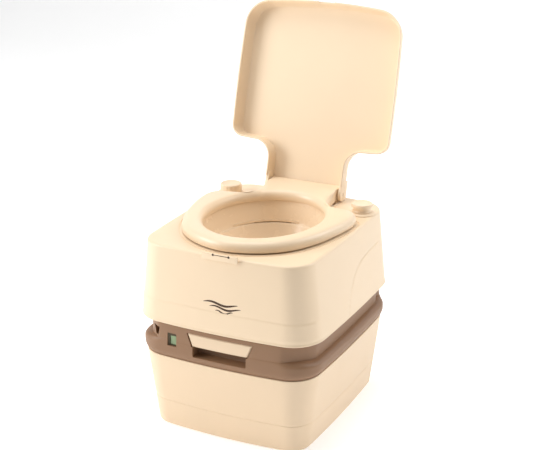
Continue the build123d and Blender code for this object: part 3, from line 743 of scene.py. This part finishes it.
def make_lid():
    """Dished cover with a deep leaning skirt, straight walls round the notches, and hinge arms."""
    outline = lid_outline()
    y = outline[:, 1]
    rear = smooth_step(y, PANEL_REAR - 5, PANEL_REAR - 1)
    lean = 1 - 0.75 * smooth_step(y, 62, 96)
    low = Z_LID_LOW + (Z_LID_INNER - 0.4 - Z_LID_LOW) * rear
    wall = WALL - 2.0 * rear

    def level(z):
        return low + (z - Z_LID_LOW) * (Z_LID_INNER - low) / (Z_LID_INNER - Z_LID_LOW)

    def spread(inset):
        return inset * (lean * (1 - rear) + 0.04 * rear)

    def inner(z, inset):
        return ring(outline, level(z), wall + spread(inset))

    def outer(z, inset):
        return ring(outline, level(z), spread(inset))

    rings = [inner(Z_LID_INNER, 16.0), inner(Z_LID_INNER, 9.6)]
    for angle in np.radians(np.linspace(76, 0, 5)):
        rings.append(inner(Z_LID_INNER - 1.5 * (1 - math.sin(angle)), 7.6 + 1.7 * math.sin(angle) ** 2))
    rings += [inner(403.0, 4.6), inner(393.0, 2.2), inner(382.4, 0.3)]
    rings += [ring(outline, low, wall * 0.8), ring(outline, low, wall * 0.2), outer(382.2, 0.0)]
    rings += [outer(393.0, 2.0), outer(403.0, 4.3), outer(408.0, 6.4)]
    for setback, drop in ((8.2, 3.9), (9.8, 2.5), (11.6, 1.4), (13.8, 0.6), (16.2, 0.15), (18.5, 0.0)):
        rings.append(ring(outline, Z_LID_TOP - drop * (1 - 0.95 * rear), spread(setback)))
    rings.append(ring(outline, Z_LID_TOP, spread(24.0) + 0.6))
    lid = loft("lid_cover", rings)

    knuckle, arm_front, arm_top = 14.2, 146.0, 413.6
    arc = []
    for angle in np.radians(np.linspace(-123, 43, 26)):
        arc.append((HINGE_Y + knuckle * math.cos(angle), HINGE_Z + knuckle * math.sin(angle)))
    tail = corner_path([arc[-1], (184.0, 408.0), (184.0, arm_top), (arm_front, arm_top)], [0.4, 3.5])
    arm = [(arm_front, 384.4)] + arc[:-1] + tail
    for side in (-1, 1):
        arm_x = sorted((side * ARM_X[0], side * ARM_X[1]))
        lid = combine(lid, bevel(slab("tool", arm, 0, *arm_x), 0.7), "UNION")
    lid = combine(lid, cylinder_tool((HINGE_Y, HINGE_Z), PIN_R, 0, -90, 90))
    lid = combine(lid, box_tool((FRONT_X - 18, FRONT_X + 18), (-214, -200), (378, 386.5), 1.5))
    return open_lid(lid)


# ---------------------------------------------------------------- fittings
def make_handle():
    """Pull bar of the slide valve: bowed front, rounded edges, hollow behind, with its neck."""
    columns, rows = 49, 15
    low, high = 191.6, 216.8
    low_half, high_half = 57.5, 68.0
    round_by, behind = 2.4, -204.0
    front, back = [], []
    for row in range(rows):
        v = row / (rows - 1)
        z = low + (high - low) * v
        half = low_half + (high_half - low_half) * v
        outline = band_outline(z)
        for column in range(columns):
            u = 2 * column / (columns - 1) - 1
            x = FRONT_X + half * u
            from_edge = min(half * (1 - abs(u)), (high - low) * min(v, 1 - v))
            y = front_y(outline, x) + 0.3 + 2.0 * (1 - min(1.0, from_edge / round_by)) ** 2
            front.append((x, y, z))
            back.append((x, behind, z))
    faces = []
    count = len(front)
    for row in range(rows - 1):
        for column in range(columns - 1):
            a = row * columns + column
            quad = (a, a + 1, a + columns + 1, a + columns)
            faces += [quad, tuple(count + i for i in reversed(quad))]
    rim = list(range(columns)) + [r * columns + columns - 1 for r in range(1, rows)]
    rim += [(rows - 1) * columns + c for c in range(columns - 2, -1, -1)]
    rim += [r * columns for r in range(rows - 2, 0, -1)]
    for a, b in zip(rim, rim[1:] + rim[:1]):
        faces.append((a, count + a, count + b, b))
    pull = solid("valve_pull", np.array(front + back) * MM, faces)
    inner = [(FRONT_X - 52, 180.0), (FRONT_X + 52, 180.0), (FRONT_X + 60, 200.0), (FRONT_X - 60, 200.0)]
    pull = combine(pull, slab("tool", inner, 1, -208.5, -190.0))
    pull = combine(pull, box_tool((-44, 44), (-206, -191.5), (202.5, 212.5)), "UNION")
    return combine(pull, box_tool((-55, 55), (-202, -150), (206, 209)))


def grip_ribs(angles, z):
    """Change of the fill cap's radius round its grip, fading at the grip's ends."""
    depth, count, flat = 1.3, 18, 0.35
    fade = smooth_step(z, 386.0, 388.0) * smooth_step(-z, -400.5, -398.0)
    groove = np.clip(np.cos(angles * count), flat, 1.0) - flat
    return -depth * fade * groove / (1 - flat)


def make_knob():
    """Mushroom-shaped pump knob with a shallow dish on top."""
    path = [(0.01, 385.45), (19.0, 385.45), (19.2, 386.6), (17.6, 388.5), (17.0, 391.6), (17.6, 393.8)]
    path += [(20.6, 395.4), (21.0, 396.8), (21.0, 400.0), (20.4, 401.8), (19.2, 402.5)]
    path += [(15.6, 402.2), (14.6, 401.5), (13.6, 401.2), (0.01, 401.3)]
    knob = turned("pump_handle", path, PUMP, 96)
    return combine(knob, cylinder_tool(PUMP, 5.0, 2, 380, 397))


def make_cap():
    """Ribbed cap of the fill neck, open underneath."""
    path = [(0.01, 395.6), (17.4, 395.6), (17.4, 385.4), (21.2, 385.4), (22.0, 386.2), (22.0, 399.0)]
    path += [(21.6, 400.8), (20.6, 402.0), (19.2, 402.5), (17.2, 402.3), (16.4, 401.6), (15.4, 401.4)]
    return turned("filler_cap", path + [(0.01, 401.5)], FILL, 180, grip_ribs)


def make_collar(name, centre, bore):
    """Raised ring on the deck round the pump, with a shallow gutter."""
    path = [(bore, Z_DECK), (27.0, Z_DECK), (27.0, 382.2), (26.4, 383.2), (25.2, 383.7), (24.3, 384.0)]
    path += [(23.6, 384.7), (22.8, 385.0), (bore, 385.0)]
    return turned(name, path, centre, 96, joined=True)


def make_latch():
    """Latch tab at the deck's front edge with its tongue."""
    half, middle, low, high = 36.5, FRONT_X + 4.5, 374.0, 387.0
    corners = [(middle, low), (middle + half, low), (middle + half, high), (middle - half, high),
               (middle - half, low), (middle - 0.01, low)]
    tab = bevel(slab("latch_tab", corner_path(corners, [3.0, 2.0, 2.0, 3.0]), 1, -211.8, -207.9), 0.7)
    tongue = box_tool((FRONT_X - 12, FRONT_X + 12), (-209, -202.5), (374.8, 377.4), 0.4)
    return combine(tab, tongue, "UNION")


def make_latch_strip():
    """Dark strip with two round ends let into the latch tab's top edge: painted shade standing in for the
    shadow inside a slot there.
    """
    left, right = FRONT_X + 7.0 - 16, FRONT_X + 7.0 + 16
    z, end_r = 384.9, 2.2
    strip = slab("latch_slot_shade", circle((left, z), end_r, 24), 1, -212.05, -210.6)
    strip = combine(strip, cylinder_tool((right, z), end_r, 1, -212.05, -210.6, 24), "UNION")
    return combine(strip, box_tool((left, right), (-212.0, -210.7), (384.4, 385.5)), "UNION")


def make_window_recess_shade():
    """Dark frame round the level window's pane, wider on its hidden side: painted shade of the window
    recess's shadowed walls.
    """
    seal = box_tool(WINDOW_X, (-206.4, -204.7), WINDOW_Z)
    return combine(seal, box_tool((-103.2, -89.6), (-210, -200), (184.8, 203.6), 1.2))


def make_clip():
    """Rear clip that holds the two halves together."""
    pin = (210.5, 255.0)
    inside, outside, foot = 208.4, 212.3, 205.2
    path = [(inside, pin[1]), (inside, 215.5), (206.9, 215.5), (206.9, 212.5), (208.5, 209.0), (208.5, foot),
            (outside, foot), (outside, pin[1])]
    clip = slab("rear_clip", corner_path(path, [0.3, 0.3, 0.4, 0.4, 1.0, 1.6], 4), 0, -15, 15)
    clip = combine(clip, cylinder_tool(pin, 2.7, 0, -15, 15), "UNION")
    cut_all(clip, *[cylinder_tool((213.0, z), 1.2, 0, -12, 12, 24) for z in (226.0, 231.0, 236.0)])
    return combine(clip, cylinder_tool(pin, 2.06, 0, -20, 20))


def make_spout_cap():
    """Ribbed cap on the stowed spout's mouth."""
    y, z = SPOUT[1:]
    count = 144
    angles = np.linspace(0, 2 * math.pi, count, endpoint=False)
    grip = np.clip(np.cos(angles * 12), 0.3, 1.0) - 0.3
    inside = [(0.01, -2.7, 0), (14.0, -2.7, 0), (14.0, 16.0, 0), (16.2, 16.0, 0), (17.0, 15.2, 0)]
    outside = [(17.0, 12.0, 0), (17.0, 11.0, 1), (17.0, -3.0, 1), (16.8, -4.6, 0.6), (16.0, -5.7, 0)]
    rings = []
    for radius, along, ribs in inside + outside + [(14.6, -6.0, 0), (0.01, -6.0, 0)]:
        radii = radius - 1.4 * grip * ribs
        x = np.full(count, SPOUT_MOUTH + along)
        rings.append(np.c_[x, y + radii * np.cos(angles), z + radii * np.sin(angles)])
    return loft("pour_cap", rings)


def make_wave_mark():
    """Small generic mark of three wave strokes printed on the front."""
    count = 60
    strokes = [(-27.0, 44.0, 290.0), (-14.0, 50.0, 282.5), (-2.0, 34.0, 274.5)]
    points, faces = [], []
    for index, (start, end, height) in enumerate(strokes):
        share = np.linspace(0, 1, count)
        middle = height + 2.6 * np.sin(share * 2.4 * math.pi + 0.35 * index)
        half = (2.1 - 0.3 * index) * np.sin(share * math.pi) ** 0.6 + 0.2
        base = len(points)
        for x, z, reach in zip(start + (end - start) * share, middle, half):
            for level in (z - reach, z + reach):
                surface = front_y(shell_outline(level), x)
                points += [(x, surface - 0.12, level), (x, surface + 0.5, level)]
        for a in range(base, base + 4 * (count - 1), 4):
            b = a + 4
            faces += [(a, a + 2, b + 2, b), (a + 1, b + 1, b + 3, a + 3)]
            faces += [(a, b, b + 1, a + 1), (a + 2, a + 3, b + 3, b + 2)]
        a, b = base, base + 4 * (count - 1)
        faces += [(a, a + 1, a + 3, a + 2), (b, b + 2, b + 3, b + 1)]
    return solid("wave_mark", np.array(points) * MM, faces)


# ================================================================ assembly
dress_cad_nodes()
done(make_tub(), "holding_tank", TUB, ["holding_tank_lower"])
done(cut_band(make_band()), "holding_tank", BAND, ["holding_tank_upper"])
done(make_shell(), "flush_unit", SHELL, ["flush_tank_shell"])
done(make_bowl(), "flush_unit", BOWL, ["bowl"])
done(make_seat(), "seat", SEAT, ["seat"], 40)
done(make_lid(), "lid", LID, ["lid"], 40)
done(make_handle(), "valve", HANDLE, ["valve_handle"])
done(make_knob(), "pump", SHELL, ["pump_knob"])
done(make_cap(), "fill_cap", SHELL, ["fill_cap"])
done(make_collar("pump_ring", PUMP, 5.1), "flush_unit", SHELL, ["pump_collar"])
done(make_latch(), "lid_latch", SHELL, ["lid_latch"])
# Painted shade: dark strip in place of the shadow in the latch tab's slot.
done(make_latch_strip(), "lid_latch", PRINT_AND_SHADE_BROWN)
done(make_clip(), "coupling_clip", BAND, ["coupling_clip"])
done(box_tool(WINDOW_X, (-204.6, -203.6), WINDOW_Z), "holding_tank", LENS, ["level_window"])
# Painted shade round the level window's pane, standing in for its recess's shadow.
done(make_window_recess_shade(), "holding_tank", SHADE)
done(make_spout_cap(), "spout_cap", BAND, ["spout_cap"])
done(make_wave_mark(), "flush_unit", PRINT_AND_SHADE_BROWN)


# ================================================================ stage
def area_light(name, place, target, size, power):
    """White panel light aimed at a point."""
    light = bpy.data.lights.new(name, "AREA")
    light.shape = "RECTANGLE"
    light.size, light.size_y = size
    light.energy = power
    holder = bpy.data.objects.new(name, light)
    holder.location = place
    holder.rotation_euler = (Vector(target) - Vector(place)).to_track_quat("-Z", "Y").to_euler()
    bpy.context.scene.collection.objects.link(holder)


def make_floor():
    """Floor that sweeps up into a pale backdrop."""
    rear, sweep, half_width = 2.6, 1.5, 9.0
    profile = [(-6.0, 0.0), (rear, 0.0)]
    for angle in np.radians(np.linspace(0, 90, 16)):
        profile.append((rear + sweep * math.sin(angle), sweep - sweep * math.cos(angle)))
    profile.append((rear + sweep, 6.0))
    points = [(x, y, z) for y, z in profile for x in (-half_width, half_width)]
    faces = [(i, i + 1, i + 3, i + 2) for i in range(0, len(points) - 2, 2)]
    mesh = bpy.data.meshes.new("studio_floor")
    mesh.from_pydata(points, [], faces)
    mesh.update()
    floor = new_object("studio_floor", mesh)
    mesh.polygons.foreach_set("use_smooth", [True] * len(mesh.polygons))
    paper = bpy.data.materials.new("studio_paper")
    paper.use_nodes = True
    nodes, links = paper.node_tree.nodes, paper.node_tree.links
    shader = nodes["Principled BSDF"]
    grain = nodes.new("ShaderNodeTexNoise")
    grain.inputs["Scale"].default_value = 60.0
    tone = nodes.new("ShaderNodeMix")
    tone.data_type = "RGBA"
    tone.inputs["A"].default_value = (0.93, 0.93, 0.93, 1.0)
    tone.inputs["B"].default_value = (0.95, 0.95, 0.95, 1.0)
    links.new(grain.outputs["Fac"], tone.inputs["Factor"])
    links.new(tone.outputs["Result"], shader.inputs["Base Color"])
    shader.inputs["Roughness"].default_value = 0.9
    shader.inputs["Emission Color"].default_value = (1.0, 1.0, 1.0, 1.0)
    shader.inputs["Emission Strength"].default_value = 0.29
    mesh.materials.append(paper)


make_floor()
area_light("key", (-2.7, -1.7, 1.6), (0, 0, 0.3), (1.5, 1.6), 76)
area_light("side", (2.2, 1.4, 2.3), (0, 0, 0.25), (1.5, 1.8), 43)
area_light("top", (-0.5, -0.1, 3.1), (0, 0, 0.3), (2.0, 2.0), 50)

world = bpy.data.worlds.new("studio")
world.use_nodes = True
sky = world.node_tree.nodes["Background"]
sky.inputs["Color"].default_value = (1.0, 1.0, 1.0, 1.0)
sky.inputs["Strength"].default_value = 0.25
bpy.context.scene.world = world
bpy.context.scene.view_settings.view_transform = "Standard"

camera = bpy.data.objects.new("camera", bpy.data.cameras.new("camera"))
camera.data.lens = 86.17
camera.data.sensor_width = 36.0
camera.data.clip_end = 50.0
camera.location = (1.0688, -2.1567, 1.2459)
aim = Vector((0.0, 0.03463, 0.36287)) - camera.location
camera.rotation_euler = aim.to_track_quat("-Z", "Y").to_euler()
bpy.context.scene.collection.objects.link(camera)
bpy.context.scene.camera = camera
